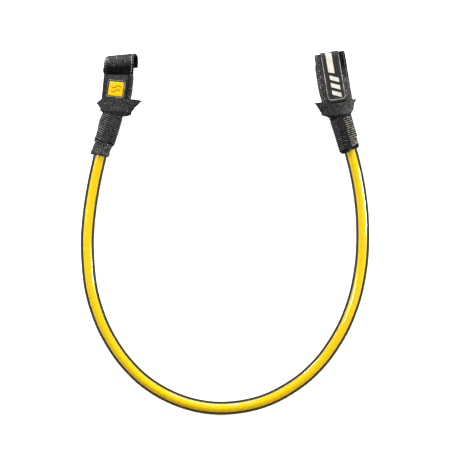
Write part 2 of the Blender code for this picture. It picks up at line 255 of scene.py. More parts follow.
def woven_nylon(name, dark, light, lint, yarn, mottle, lint_from=0.62, roughness=0.85,
                painted_light=(), painted_light_across=None, fuzz_across=None):
    """Woven nylon: matt, with a faint sheen, the yarns' own light and dark, and pale lint.
    Painted_light lists (mm along the piece, brightness): painted highlight above 1 and painted
    shade below 1, for how light falls along the piece.
    Across pairs are mm from the first margin, where the painted light or thicker lint starts and
    where it is full."""
    material, tree, out = blank_material(name)
    uv = put(tree, "ShaderNodeUVMap", uv_map="cloth").outputs[0]
    axes = put(tree, "ShaderNodeSeparateXYZ", {0: uv}).outputs
    warp, weft = (calc(tree, "SINE", calc(tree, "MULTIPLY", axes[k], 2 * math.pi / yarn[k]))
                  for k in (0, 1))
    cross = calc(tree, "MULTIPLY", warp, weft)
    cloud = noise(tree, 1000.0 / mottle, 4.0, 0.65)
    shade = spread(tree, calc(tree, "MULTIPLY_ADD", cross, 0.17, cloud), 0.28, 0.72)
    speck = noise(tree, 950.0, 2.0)
    if fuzz_across:
        speck = calc(tree, "ADD", speck, spread(tree, axes[0], *fuzz_across, 0.0, 0.11))
    speck = spread(tree, speck, lint_from, lint_from + 0.1, 0.0, 0.75)
    colour = tint(tree, speck, tint(tree, shade, dark, light), lint)
    if painted_light:
        colour = paint_light_bands(tree, colour, axes, painted_light, painted_light_across)
    rough = spread(tree, cloud, 0.0, 1.0, roughness - 0.1, roughness + 0.1)
    bump = dents(tree, calc(tree, "MULTIPLY_ADD", cloud, 0.6, cross), 0.6, 0.00025)
    face_with(tree, out, colour, rough, 0.05, Normal=bump, Sheen_Weight=0.01,
              Sheen_Roughness=0.4)
    return material


def sewing_thread(name, dark, light, roughness=0.55):
    """Twisted bonded thread: a little shine along the strands, darker where they dip."""
    material, tree, out = blank_material(name)
    place = put(tree, "ShaderNodeTexCoord").outputs["Object"]
    twist = put(tree, "ShaderNodeTexWave",
                {"Vector": place, "Scale": 600.0, "Distortion": 3.0, "Detail": 1.0},
                bands_direction="DIAGONAL").outputs["Fac"]
    shade = spread(tree, noise(tree, 420.0, 3.0, 0.6), 0.35, 0.65)
    face_with(tree, out, tint(tree, shade, dark, light), roughness, 0.2,
              Normal=dents(tree, twist, 0.5, 0.0001))
    return material


def moulded_rubber(name, base, worn, roughness, wear_from=0.5, gloss=0.25):
    """Injection-moulded soft rubber: satin, fine grain, a little paler where it has rubbed."""
    material, tree, out = blank_material(name)
    grain = noise(tree, 1800.0, 3.0, 0.6)
    rub = spread(tree, noise(tree, 220.0, 3.0), wear_from, wear_from + 0.25)
    rough = spread(tree, grain, 0.0, 1.0, roughness - 0.08, roughness + 0.08)
    face_with(tree, out, tint(tree, rub, base, worn), rough, gloss,
              Normal=dents(tree, grain, 0.25, 0.0001))
    return material


def braided_polyester(name):
    """Braided rope: saturated yellow, with painted shade darkening the valleys between the
    strands.
    """
    material, tree, out = blank_material(name)
    crown = put(tree, "ShaderNodeAttribute", attribute_name="strand").outputs["Fac"]
    fibre = noise(tree, 900.0, 2.0)
    shade = spread(tree, calc(tree, "MULTIPLY_ADD", fibre, 0.35, crown), 0.3, 0.9)
    face_with(tree, out, tint(tree, shade, "#9E7E00", "#DAB400"), 0.5, 0.03,
              Normal=dents(tree, fibre, 0.3, 0.0001))
    return material


def extruded_clear_plastic(name, rim, gloss_share):
    """Clear flexible tube: see-through in the middle and glossy, with near-black painted down both
    sides, where its wall is seen edge on: painted shade standing in for the light the wall bends
    away there. Rim is how far round the tube, 0 in the middle to 1 at the side, the painted shade
    starts and ends. It is the same from every side, because the surface's turn away is measured
    against the tube's own run, which the attribute run holds."""
    material, tree, out = blank_material(name)
    run = put(tree, "ShaderNodeAttribute", attribute_name="run").outputs["Vector"]
    turned = put(tree, "ShaderNodeLayerWeight", {"Blend": 0.5}).outputs["Facing"]
    end_on = put(tree, "ShaderNodeLayerWeight", {"Blend": 0.5, "Normal": run}).outputs["Facing"]
    towards, along = (calc(tree, "SUBTRACT", 1.0, turn) for turn in (turned, end_on))
    square = calc(tree, "MULTIPLY", along, along)
    across = calc(tree, "SQRT", calc(tree, "SUBTRACT", 1.001, square))
    away = calc(tree, "SUBTRACT", 1.0, calc(tree, "DIVIDE", towards, across))
    edge = spread(tree, away, *rim, interpolation_type="SMOOTHSTEP")
    rough = spread(tree, noise(tree, 60.0, 2.0), 0.0, 1.0, 0.04, 0.14)
    clear = put(tree, "ShaderNodeBsdfTransparent", {"Color": (0.985, 0.985, 0.975, 1.0)})
    # The wall's near-black colour is the painted shade down the tube's sides
    wall = put(tree, "ShaderNodeBsdfPrincipled",
               {"Base Color": linear("#0E0D0A"), "Roughness": rough,
                "Specular IOR Level": 0.0})
    body = put(tree, "ShaderNodeMixShader", {0: edge, 1: clear.outputs[0],
                                             2: wall.outputs[0]})
    gloss = put(tree, "ShaderNodeBsdfAnisotropic", {"Roughness": rough})
    shell = put(tree, "ShaderNodeMixShader", {0: gloss_share, 1: body.outputs[0],
                                              2: gloss.outputs[0]})
    tree.links.new(shell.outputs[0], out.inputs[0])
    return material


def matt_floor(name):
    material, tree, out = blank_material(name)
    face_with(tree, out, linear("#F4F4F4"), 0.9, 0.0, Emission_Color=(1.0, 1.0, 1.0, 1.0),
              Emission_Strength=0.55)
    return material


# Heavy webbing has yarns about 0.8 mm wide: drawn 1.8 mm apart, so that they show
# The right copy is painted darker than the left: painted shade, the same webbing on both terminals
WEBBING = {
    "left": woven_nylon("black_nylon_webbing_left", "#030303", "#3A3A3B", "#A6A39A",
                        (1.8, 1.8), 1.6, 0.67),
    "right": woven_nylon("black_nylon_webbing_right_painted_shade", "#010101", "#282828", "#8A867B",
                         (1.8, 1.8), 1.6, 0.63),
}
# The right copy is painted darker than the left: painted shade, the same cuff cloth on both
# terminals
CUFF_CLOTH = {
    "left": woven_nylon("brushed_nylon_cuff_left", "#060606", "#48484A", "#ACA89C",
                        (1.7, 1.7), 1.5, 0.6),
    "right": woven_nylon("brushed_nylon_cuff_right_painted_shade", "#020202", "#222223", "#A6A39A",
                         (1.7, 1.7), 1.5, 0.62),
}
COLLAR_CLOTH = {
    "left": woven_nylon("ribbed_nylon_collar_left", "#030303", "#383839", "#96938A",
                        (1.8, 3.0), 2.0, 0.64),
    # The right collar is painted 2.4 times lighter within 5 mm of its first margin, fading out by
    # 20 mm: painted light on its lit side
    "right": woven_nylon("ribbed_nylon_collar_right", "#010101", "#383838", "#8A867B",
                         (1.8, 7.0), 2.4, 0.66, painted_light=((0.0, 2.4), (11.3, 2.4)),
                         painted_light_across=(20.0, 5.0)),
}
# The flap's canvas has painted shade at its foot and a painted highlight band from 17 mm up to its
# lip
FLAP_CLOTH = woven_nylon("fine_nylon_canvas", "#0C0C0D", "#2F2F31", "#7C7B76", (1.4, 1.4),
                         2.4, 0.66, painted_light=((0.0, 0.9), (14.5, 1.0), (17.0, 1.9),
                                            (19.8, 1.4)))
# Painted light and shade on the straps, by the stops below: the left strap has painted shade just
# above the flap's lip and a painted highlight band near its crown; the right strap has painted
# shade from 30 mm up, within 15 mm of its first margin
STRAP_CLOTH = {
    "left": woven_nylon("black_nylon_strap_left", "#060606", "#3C3C3D", "#A6A39A", (1.8, 1.8),
                        1.6, 0.63, painted_light=((0.0, 1.5), (26.0, 1.4), (28.5, 0.1),
                                           (34.5, 0.12), (38.5, 0.9), (41.5, 1.5),
                                           (45.0, 0.8), (48.0, 0.35), (62.0, 0.3)),
                        fuzz_across=(7.0, 1.0)),
    "right": woven_nylon("black_nylon_strap_right", "#080808", "#424243", "#B3AE9F",
                         (1.8, 1.8), 1.6, 0.61,
                         painted_light=((0.0, 1.6), (20.0, 1.5), (30.0, 0.6), (36.0, 0.1),
                                 (60.0, 0.1)), painted_light_across=(15.0, 11.0)),
}
# Near-black cloth laid under the rib threads: painted shade between them
RIB_SHADE_CLOTH = woven_nylon("painted_shade_under_ribs", "#000000", "#060606", "#2A2926",
                           (1.8, 1.8), 1.6, 0.68)
BARTACK_THREAD = sewing_thread("black_bonded_thread", "#2A2A2B", "#6E6E6F")
# Darker and paler copies of the black thread for the rib columns: painted shade and painted
# highlight
SHADED_RIB_THREAD = sewing_thread("black_bonded_thread_painted_shade", "#222223", "#525253")
LIT_RIB_THREAD = sewing_thread("black_bonded_thread_painted_highlight", "#3B3833", "#8E897E")
EDGE_THREAD = sewing_thread("cream_edge_thread", "#7A7366", "#C9C1AE")
DARK_THREAD = sewing_thread("grey_topstitch_thread", "#333336", "#6C6C70")
PILE = sewing_thread("black_hook_pile", "#0E0E0F", "#2A2A2C", 0.8)
TWINE = sewing_thread("waxed_whipping_twine", "#7B7262", "#B4AA94")
BADGE_GREY = moulded_rubber("dark_grey_rubber", "#161617", "#242425", 0.55)
RIM_GREY = moulded_rubber("rubbed_grey_rubber", "#66635C", "#96928A", 0.5, 0.4)
FRAME_RUBBER = moulded_rubber("slate_grey_rubber", "#232322", "#42413F", 0.35, 0.45, 0.15)
# Paler rubber for the thin bead round the badge frame: a painted highlight on the frame's edge
FRAME_HIGHLIGHT_BEAD = moulded_rubber("pale_frame_edge_painted_highlight", "#4E4D4A", "#8A8780", 0.4, 0.4)
RUBBER_YELLOW = moulded_rubber("yellow_rubber", "#C69C00", "#AC8800", 0.5, 0.5, 0.05)
PRINT_WHITE = moulded_rubber("white_rubber_inlay", "#B8B3A9", "#9F9A8F", 0.5)
INK = moulded_rubber("grey_rubber_line", "#3A340C", "#4A4210", 0.5)
ROPE_YELLOW = braided_polyester("yellow_braided_polyester")
# Both tube materials paint shade down the sides of the wall, on its outer face and in its bore
CLEAR_TUBE = extruded_clear_plastic("clear_extruded_plastic", (0.17, 0.275), 0.032)
TUBE_BORE = extruded_clear_plastic("clear_extruded_plastic_bore", (0.6, 0.8), 0.0)
RIB_THREADS = {  # by side of the object and edge of the ply: lit and shaded copies of one black thread, painting highlight and shade on the rib columns
    "left": {"inner": SHADED_RIB_THREAD, "outer": BARTACK_THREAD},
    "right": {"inner": LIT_RIB_THREAD, "outer": SHADED_RIB_THREAD},
}


# ---------------------------------------------------------------- mesh helpers

def smooth_path(points, per_span=24):
    """Catmull-Rom curve through the points, as an array."""
    pts = [np.array(p, float) for p in points]
    pts = [2 * pts[0] - pts[1], *pts, 2 * pts[-1] - pts[-2]]
    out = []
    for i in range(1, len(pts) - 2):
        p0, p1, p2, p3 = pts[i - 1: i + 3]
        for k in range(per_span):
            t = k / per_span
            out.append(0.5 * (2 * p1 + (p2 - p0) * t + (2 * p0 - 5 * p1 + 4 * p2 - p3) * t ** 2
                              + (3 * p1 - p0 - 3 * p2 + p3) * t ** 3))
    out.append(pts[-2])
    return np.array(out)


def measured(path):
    """How far along the path each of its points lies."""
    return np.concatenate([[0.0], np.cumsum(np.linalg.norm(np.diff(path, axis=0), axis=1))])


def at_run(path, run, dist):
    """The path's points at the distances dist along it."""
    return np.stack([np.interp(dist, run, path[:, k]) for k in range(path.shape[1])], -1)


def new_piece(name, verts, faces, material, uv=None):
    """One object at the origin from world points in millimetres, with its doubles merged and
    its faces turned outwards."""
    mesh = bpy.data.meshes.new(name)
    mesh.from_pydata(np.asarray(verts) * MM, [], faces)
    if uv is not None:
        layer = mesh.uv_layers.new(name="cloth")
        index = np.empty(len(mesh.loops), np.int32)
        mesh.loops.foreach_get("vertex_index", index)
        layer.data.foreach_set("uv", np.asarray(uv, np.float32)[index].ravel())
    bm = bmesh.new()
    bm.from_mesh(mesh)
    bmesh.ops.remove_doubles(bm, verts=bm.verts, dist=2e-6)
    bmesh.ops.recalc_face_normals(bm, faces=bm.faces)
    bm.to_mesh(mesh)
    bm.free()
    mesh.shade_smooth()
    mesh.materials.append(material)
    ob = bpy.data.objects.new(name, mesh)
    bpy.context.scene.collection.objects.link(ob)
    return ob


def steps(length, pitch, edge, cut_low=False, cut_high=False):
    """Distances across a ply, closer together at its rounded edges."""
    near = edge * np.array([0.0, 0.08, 0.3, 0.65])
    low = np.array([0.0]) if cut_low else near
    high = np.array([0.0]) if cut_high else near
    start, stop = (0.0 if cut_low else edge), (0.0 if cut_high else edge)
    count = max(int(round((length - start - stop) / pitch)), 2)
    middle = np.linspace(start, length - stop, count + 1)
    parts = [middle]
    if not cut_low:
        parts.insert(0, low)
    if not cut_high:
        parts.append(length - high[::-1])
    return np.concatenate(parts)


def to_world(place, points):
    """Points in a terminal's frame as world points, both in mm."""
    flat = points.reshape(-1, 3)
    turn = np.array(place.to_3x3())
    return (flat @ turn.T + np.array(place.translation)).reshape(points.shape)


def cloth(name, place, surface, size, thick, pitch, material, relief=None, wrap=False,
          cut=(False, False), uv_at=(0.0, 0.0)):
    """A ply laid on surface(s, t), s in -1..1 and t in 0..1, thickened about that surface, with
    rounded edges. Size is its width and length. Relief adds height by (x, y, side) in mm.
    wrap closes it on itself across; cut leaves its first or last end square."""
    width, length = size
    edge = min(thick / 2, 0.9)
    x = steps(width, pitch[0], edge)
    if wrap:
        x = np.linspace(0, width, int(round(width / pitch[0])) + 1)
    y = steps(length, pitch[1], edge, *cut)
    gx, gy = np.meshgrid(x, y)
    s, t = 2 * gx / width - 1, gy / length
    mid = np.stack(surface(s, t), -1)
    eps = 0.002
    ds = np.stack(surface(s + eps, t), -1) - np.stack(surface(s - eps, t), -1)
    dt = np.stack(surface(s, t + eps), -1) - np.stack(surface(s, t - eps), -1)
    normal = np.cross(ds, dt)
    normal /= np.maximum(np.linalg.norm(normal, axis=-1, keepdims=True), 1e-12)
    border = np.full_like(gx, edge)
    if not wrap:
        border = np.minimum(border, np.minimum(gx, width - gx))
    if not cut[0]:
        border = np.minimum(border, gy)
    if not cut[1]:
        border = np.minimum(border, length - gy)
    round_off = np.sqrt(np.clip(1 - (1 - border / edge) ** 2, 0, 1))[..., None]
    layers = []
    for side in (1, -1):
        lift = np.full_like(gx, thick / 2)
        if relief is not None:
            lift = lift + relief(gx - width / 2, gy, side)
        layers.append((mid + normal * (side * lift[..., None]) * round_off).reshape(-1, 3))
    uv = np.stack([gx + uv_at[0], gy + uv_at[1]], -1).reshape(-1, 2)
    rows, cols = gx.shape
    count = rows * cols
    points = to_world(place, np.concatenate(layers))
    i = np.arange(rows - 1)[:, None] * cols + np.arange(cols - 1)[None, :]
    top = np.stack([i, i + 1, i + cols + 1, i + cols], -1).reshape(-1, 4)
    bottom = top[:, ::-1] + count
    sides = []
    low, high = np.arange(cols), np.arange(cols) + (rows - 1) * cols
    rims = [(low, -1), (high, 1)]
    if not wrap:
        rims += [(np.arange(rows) * cols, 1), (np.arange(rows) * cols + cols - 1, -1)]
    for rim, way in rims:
        a, b = (rim[:-1], rim[1:]) if way > 0 else (rim[1:], rim[:-1])
        sides.append(np.stack([a, b, b + count, a + count], -1))
    faces = np.concatenate([top, bottom, *sides]).tolist()
    return new_piece(name, points, faces, material, np.concatenate([uv, uv]))


def weave(pitch, depth):
    """Height of a plain weave: yarns rise and dip in turn."""
    def relief(x, y, side):
        return depth * np.sin(2 * math.pi * x / pitch[0]) * np.sin(2 * math.pi * y / pitch[1])
    return relief


def rounded_outline(width, height, radius, corner=5):
    """A rectangle with round corners, each of corner + 1 points."""
    pts = []
    for cx, cy, a0 in ((1, 1, 0), (-1, 1, 90), (-1, -1, 180), (1, -1, 270)):
        for k in range(corner + 1):
            a = math.radians(a0 + 90 * k / corner)
            pts.append((cx * (width / 2 - radius) + radius * math.cos(a),
                        cy * (height / 2 - radius) + radius * math.sin(a)))
    return np.array(pts)


def moulded(name, place, size, profile, material, radius=1.5, centre=(0, 0), turn=0.0,
            ring=False):
    """A moulding round a rounded rectangle. Profile lists (inset, height) from its foot over its
    top. A ring's profile closes on itself; a plate is capped at both ends."""
    loops = []
    for inset, height in profile:
        outline = rounded_outline(size[0] - 2 * inset, size[1] - 2 * inset,
                                  max(radius - inset, 0.25))
        loops.append(np.column_stack([outline, np.full(len(outline), height)]))
    n = len(loops[0])
    if not ring:
        loops = [loops[0] * (0, 0, 1)] + loops + [loops[-1] * (0, 0, 1)]
    pts = np.concatenate(loops)
    c, s = math.cos(turn), math.sin(turn)
    pts = np.column_stack([pts[:, 0] * c - pts[:, 1] * s + centre[0],
                           pts[:, 0] * s + pts[:, 1] * c + centre[1], pts[:, 2]])
    faces = []
    count = len(loops)
    for k in range(count if ring else count - 1):
        nxt = (k + 1) % count
        for j in range(n):
            faces.append((k * n + j, k * n + (j + 1) % n, nxt * n + (j + 1) % n, nxt * n + j))
    return new_piece(name, to_world(place, pts), faces, material)


# ---------------------------------------------------------------- geometry nodes

def plain_mesh(guide, name):
    """The guide's evaluated geometry as a plain mesh object; the guide is removed."""
    graph = bpy.context.evaluated_depsgraph_get()
    mesh = bpy.data.meshes.new_from_object(guide.evaluated_get(graph), depsgraph=graph)
    data = guide.data
    bpy.data.objects.remove(guide, do_unlink=True)
    bpy.data.meshes.remove(data)
    mesh.name = name
    ob = bpy.data.objects.new(name, mesh)
    bpy.context.scene.collection.objects.link(ob)
    return ob


def grow(name, tree, points, edges, values):
    """Runs a tree on a guide made of points in world mm, and keeps the result."""
    mesh = bpy.data.meshes.new(name + "_guide")
    mesh.from_pydata([tuple(c * MM for c in p) for p in points], edges, [])
    guide = bpy.data.objects.new(name + "_guide", mesh)
    bpy.context.scene.collection.objects.link(guide)
    mod = guide.modifiers.new("Grow", "NODES")
    mod.node_group = tree
    for item in tree.interface.items_tree:
        if item.item_type == "SOCKET" and item.in_out == "INPUT" and item.name in values:
            mod[item.identifier] = values[item.name]
    bpy.context.view_layer.update()
    return plain_mesh(guide, name)


def new_tree(name, inputs):
    tree = bpy.data.node_groups.new(name, "GeometryNodeTree")
    tree.interface.new_socket(name="Geometry", in_out="INPUT",
                              socket_type="NodeSocketGeometry")
    for label, kind in inputs:
        tree.interface.new_socket(name=label, in_out="INPUT", socket_type="NodeSocket" + kind)
    tree.interface.new_socket(name="Geometry", in_out="OUTPUT",
                              socket_type="NodeSocketGeometry")
    return tree, put(tree, "NodeGroupInput").outputs, put(tree, "NodeGroupOutput")


def hand_out(tree, shape, material, out, smooth=True):
    """Ends a tree in the shape as one mesh of the material."""
    whole = put(tree, "GeometryNodeRealizeInstances", {0: shape})
    if smooth:
        whole = put(tree, "GeometryNodeSetShadeSmooth", {0: whole.outputs[0]})
    dyed = put(tree, "GeometryNodeSetMaterial",
               {"Geometry": whole.outputs[0], "Material": material})
    tree.links.new(dyed.outputs[0], out.inputs[0])
    return tree


def sewn_thread_tree():
    """Every line of the guide becomes a round thread with closed ends."""
    tree, given, out = new_tree("sewn_thread", [("Thread radius", "Float"), ("Sides", "Int"),
                                                ("Thread", "Material")])
    line = put(tree, "GeometryNodeMeshToCurve", {"Mesh": given["Geometry"]})
    ring = put(tree, "GeometryNodeCurvePrimitiveCircle",
               {"Resolution": given["Sides"], "Radius": given["Thread radius"]})
    skin = put(tree, "GeometryNodeCurveToMesh",
               {"Curve": line.outputs[0], "Profile Curve": ring.outputs[0],
                "Fill Caps": True})
    return hand_out(tree, skin.outputs[0], given["Thread"], out)


def running_stitch_tree():
    """Stitches lie end to end along the guide, each a slim bead, a little uneven."""
    tree, given, out = new_tree("running_stitch", [
        ("Stitch pitch", "Float"), ("Stitch length", "Float"), ("Thread radius", "Float"),
        ("Seed", "Int"), ("Thread", "Material")])
    line = put(tree, "GeometryNodeMeshToCurve", {"Mesh": given["Geometry"]})
    spaced = put(tree, "GeometryNodeResampleCurve",
                 {"Curve": line.outputs[0], "Length": given["Stitch pitch"]}, mode="LENGTH")
    tangent = put(tree, "GeometryNodeInputTangent")
    turn = put(tree, "FunctionNodeAlignRotationToVector", {"Vector": tangent.outputs[0]},
               axis="Z")
    bead = put(tree, "GeometryNodeMeshUVSphere", {"Segments": 6, "Rings": 5, "Radius": 1.0})
    uneven = put(tree, "FunctionNodeRandomValue",
                 {2: 0.85, 3: 1.12, "Seed": given["Seed"]}, data_type="FLOAT")
    long = put(tree, "ShaderNodeMath", {0: given["Stitch length"], 1: 0.5},
               operation="MULTIPLY")
    size = put(tree, "ShaderNodeCombineXYZ", {0: given["Thread radius"],
                                              1: given["Thread radius"], 2: long.outputs[0]})
    grown = put(tree, "ShaderNodeVectorMath", {0: size.outputs[0],
                                               "Scale": uneven.outputs[1]},
                operation="SCALE")
    laid = put(tree, "GeometryNodeInstanceOnPoints",
               {"Points": spaced.outputs[0], "Instance": bead.outputs[0],
                "Rotation": turn.outputs[0], "Scale": grown.outputs[0]})
    return hand_out(tree, laid.outputs[0], given["Thread"], out)


def pile_tree():
    """A small tilted spike stands on every point of the guide."""
    tree, given, out = new_tree("hook_pile", [
        ("Height", "Float"), ("Radius", "Float"), ("Lean", "Float"), ("Facing", "Vector"),
        ("Seed", "Int"), ("Pile", "Material")])
    spike = put(tree, "GeometryNodeMeshCone",
                {"Vertices": 5, "Side Segments": 2, "Radius Top": 0.00008,
                 "Radius Bottom": given["Radius"], "Depth": given["Height"]})
    away = put(tree, "FunctionNodeRandomValue",
               {0: (-1.0, -1.0, -1.0), 1: (1.0, 1.0, 1.0), "Seed": given["Seed"]},
               data_type="FLOAT_VECTOR")
    tilt = put(tree, "ShaderNodeVectorMath", {0: away.outputs[0], "Scale": given["Lean"]},
               operation="SCALE")
    way = put(tree, "ShaderNodeVectorMath", {0: tilt.outputs[0], 1: given["Facing"]},
              operation="ADD")
    turn = put(tree, "FunctionNodeAlignRotationToVector", {"Vector": way.outputs[0]},
               axis="Z")
    laid = put(tree, "GeometryNodeInstanceOnPoints",
               {"Points": given["Geometry"], "Instance": spike.outputs[0],
                "Rotation": turn.outputs[0]})
    return hand_out(tree, laid.outputs[0], given["Pile"], out, smooth=False)


THREAD_TREE = sewn_thread_tree()
STITCH_TREE = running_stitch_tree()
PILE_TREE = pile_tree()


def guide_lines(place, lines):
    """Lines in a terminal's frame as the points and edges of a guide."""
    points, edges = [], []
    for line in lines:
        world = to_world(place, np.asarray(line, float))
        edges += [(len(points) + k, len(points) + k + 1) for k in range(len(world) - 1)]
        points += [tuple(p) for p in world]
    return points, edges


def thread_lines(name, place, lines, radius, material, sides=6):
    return grow(name, THREAD_TREE, *guide_lines(place, lines),
                {"Thread radius": radius * MM, "Sides": sides, "Thread": material})


def stitch_lines(name, place, lines, material, pitch, length, radius):
    return grow(name, STITCH_TREE, *guide_lines(place, lines),
                {"Stitch pitch": pitch * MM, "Stitch length": length * MM,
                 "Thread radius": radius * MM, "Seed": 1, "Thread": material})


# ---------------------------------------------------------------- the cord

def neck_point(spec, along):
    """A point on the neck's axis, along mm up from its lower end."""
    length, (x, y), cz = spec["neck_len"], spec["neck_at"], spec["collar"][2]
    lean = math.radians(spec["neck_lean"])
    pitch = math.asin((cz - spec["neck_bottom_z"]) / length)
    back = length - along
    d = np.array((-math.sin(lean) * math.cos(pitch), math.cos(lean) * math.cos(pitch),
                  math.sin(pitch)))
    return np.array((x, y, cz)) - d * back


def line_route(extra):
    """The cord's middle line in world mm, extra mm longer inside each neck than the tube."""
    left, right = TERMINALS["left"], TERMINALS["right"]
    inside = [a for a in (TUBE_IN_NECK + extra, 7.0, 0.0) if a <= TUBE_IN_NECK + extra]
    pts = [neck_point(left, a) for a in inside]
    rest_z = TUBE_OD / 2 - 0.2
    for x, y in ROUTE:
        near = min(max((y - 10.0) / 45.0, 0.0), 1.0) ** 2
        end_z = (left if x < 0 else right)["neck_bottom_z"]
        pts.append(np.array((x, y, rest_z + (end_z - rest_z) * near)))
    pts += [neck_point(right, a) for a in reversed(inside)]
    path = smooth_path(pts)
    return path - np.array((*LAYOUT_ORIGIN, 0.0))


def cord_sections(path, pitch):
    """Evenly spaced centres along the path, with two directions across it at each."""
    run = measured(path)
    count = int(round(run[-1] / pitch)) + 1
    dist = np.linspace(0, run[-1], count)
    centre = at_run(path, run, dist)
    ahead = at_run(path, run, np.minimum(dist + 1.5, run[-1]))
    behind = at_run(path, run, np.maximum(dist - 1.5, 0))
    along = ahead - behind
    along /= np.linalg.norm(along, axis=1, keepdims=True)
    side = np.cross(along, (0, 0, 1.0))
    side /= np.linalg.norm(side, axis=1, keepdims=True)
    up = np.cross(side, along)
    return dist, centre, side, up


def pipe_piece(name, path, outer, wall, material):
    """An open-ended pipe along the path, of the outer radius."""
    dist, centre, side, up = cord_sections(path, 1.2)
    total = dist[-1]
    middle = outer - wall / 2

    def surface(s, t):
        a = math.pi * s
        d = t * total
        at = [np.interp(d, dist, centre[:, k]) for k in range(3)]
        sd = [np.interp(d, dist, side[:, k]) for k in range(3)]
        ud = [np.interp(d, dist, up[:, k]) for k in range(3)]
        return [at[k] + middle * (np.cos(a) * sd[k] + np.sin(a) * ud[k]) for k in range(3)]
    return cloth(name, Matrix.Identity(4), surface, (2 * math.pi * middle, total), wall,
                 (2 * math.pi * middle / 40, 1.2), material, wrap=True)


def braided_rope(name, path, radius, material, sides=48, strands=8, lay=27.0, depth=0.32):
    """A round braid: two sets of strands wind opposite ways and pass over and under each other."""
    dist, centre, side, up = cord_sections(path, 0.62)
    total = dist[-1]
    a = np.linspace(0, 2 * math.pi, sides, endpoint=False)
    ga, gd = np.meshgrid(a, dist)
    one = ga * strands / (2 * math.pi) + gd * strands / lay
    two = ga * strands / (2 * math.pi) - gd * strands / lay
    over = (np.floor(one) + np.floor(two)) % 2 < 1
    phase = np.where(over, one, two) % 1.0
    crown = np.sqrt(np.clip(1 - (2 * phase - 1) ** 2, 0, 1))
    end = np.clip(np.minimum(gd, total - gd) / radius, 0, 1)
    taper = np.sqrt(np.clip(1 - (1 - end) ** 2, 0, 1))
    r = (radius - depth * (1 - crown)) * taper
    pts = centre[:, None, :] + r[..., None] * (np.cos(ga)[..., None] * side[:, None, :]
                                               + np.sin(ga)[..., None] * up[:, None, :])
    rows, cols = ga.shape
    i = np.arange(rows - 1)[:, None] * cols + np.arange(cols)[None, :]
    j = np.arange(rows - 1)[:, None] * cols + (np.arange(cols)[None, :] + 1) % cols
    faces = np.stack([i, j, j + cols, i + cols], -1).reshape(-1, 4).tolist()
    uv = np.stack([ga * radius, gd], -1).reshape(-1, 2)
    ob = new_piece(name, pts.reshape(-1, 3), faces, material, uv)
    # The strand attribute holds each point's height on its strand, by which the rope's material
    # paints shade in the valleys
    keep = np.round(pts.reshape(-1, 3) * MM, 6)
    crown_at = dict(zip(map(tuple, keep), crown.ravel()))
    layer = ob.data.attributes.new("strand", "FLOAT", "POINT")
    layer.data.foreach_set("value", np.array(
        [crown_at.get((round(v.co.x, 6), round(v.co.y, 6), round(v.co.z, 6)), 1.0)
         for v in ob.data.vertices], np.float32))
    return ob


def line_the_bore(pipe, path, radius):
    """Faces nearer the axis than radius take the second material. The attribute run gets the
    direction of the tube's axis."""
    pipe.data.materials.append(TUBE_BORE)
    run = measured(path)
    centres = at_run(path, run, np.arange(0, run[-1], 0.5)) * MM
    mids = np.empty(len(pipe.data.polygons) * 3)
    pipe.data.polygons.foreach_get("center", mids)
    mids = mids.reshape(-1, 3)
    near = np.concatenate([
        np.linalg.norm(part[:, None, :] - centres[None], axis=2).min(axis=1)
        for part in np.array_split(mids, 40)])
    pipe.data.polygons.foreach_set("material_index", (near < radius * MM).astype(np.int32))
    ahead = np.gradient(centres, axis=0)
    ahead /= np.linalg.norm(ahead, axis=1, keepdims=True)
    spots = np.empty(len(pipe.data.vertices) * 3)
    pipe.data.vertices.foreach_get("co", spots)
    nearest = np.concatenate([
        np.linalg.norm(part[:, None, :] - centres[None], axis=2).argmin(axis=1)
        for part in np.array_split(spots.reshape(-1, 3), 40)])
    layer = pipe.data.attributes.new("run", "FLOAT_VECTOR", "POINT")
    layer.data.foreach_set("vector", ahead[nearest].astype(np.float32).ravel())


tube_path, rope_path = line_route(0.0), line_route(ROPE_PAST_TUBE)
tube = pipe_piece("tube_clear", tube_path, TUBE_OD / 2, TUBE_WALL, CLEAR_TUBE)
line_the_bore(tube, tube_path, TUBE_OD / 2 - TUBE_WALL / 2)
rope = braided_rope("rope_braided", rope_path, ROPE_D / 2, ROPE_YELLOW)
for piece, path, node, material_slot, wide in (
        (tube, tube_path, "tube", "clear_tube", TUBE_OD),
        (rope, rope_path, "rope", "yellow_rope", ROPE_D)):
    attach(piece, "line")
    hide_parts(node)


# ---------------------------------------------------------------- terminals

def strap_lines(spec):
    """The strap's run in the u-w plane, with where its root and its crest lie on it."""
    path = smooth_path(spec["strap_path"])
    run = measured(path)
    root = run[int(np.argmax(path[:, 0] >= STRAP_ROOT_U))]
    crest = run[int(np.argmax(path[:, 0]))]
    return path, run, root, crest


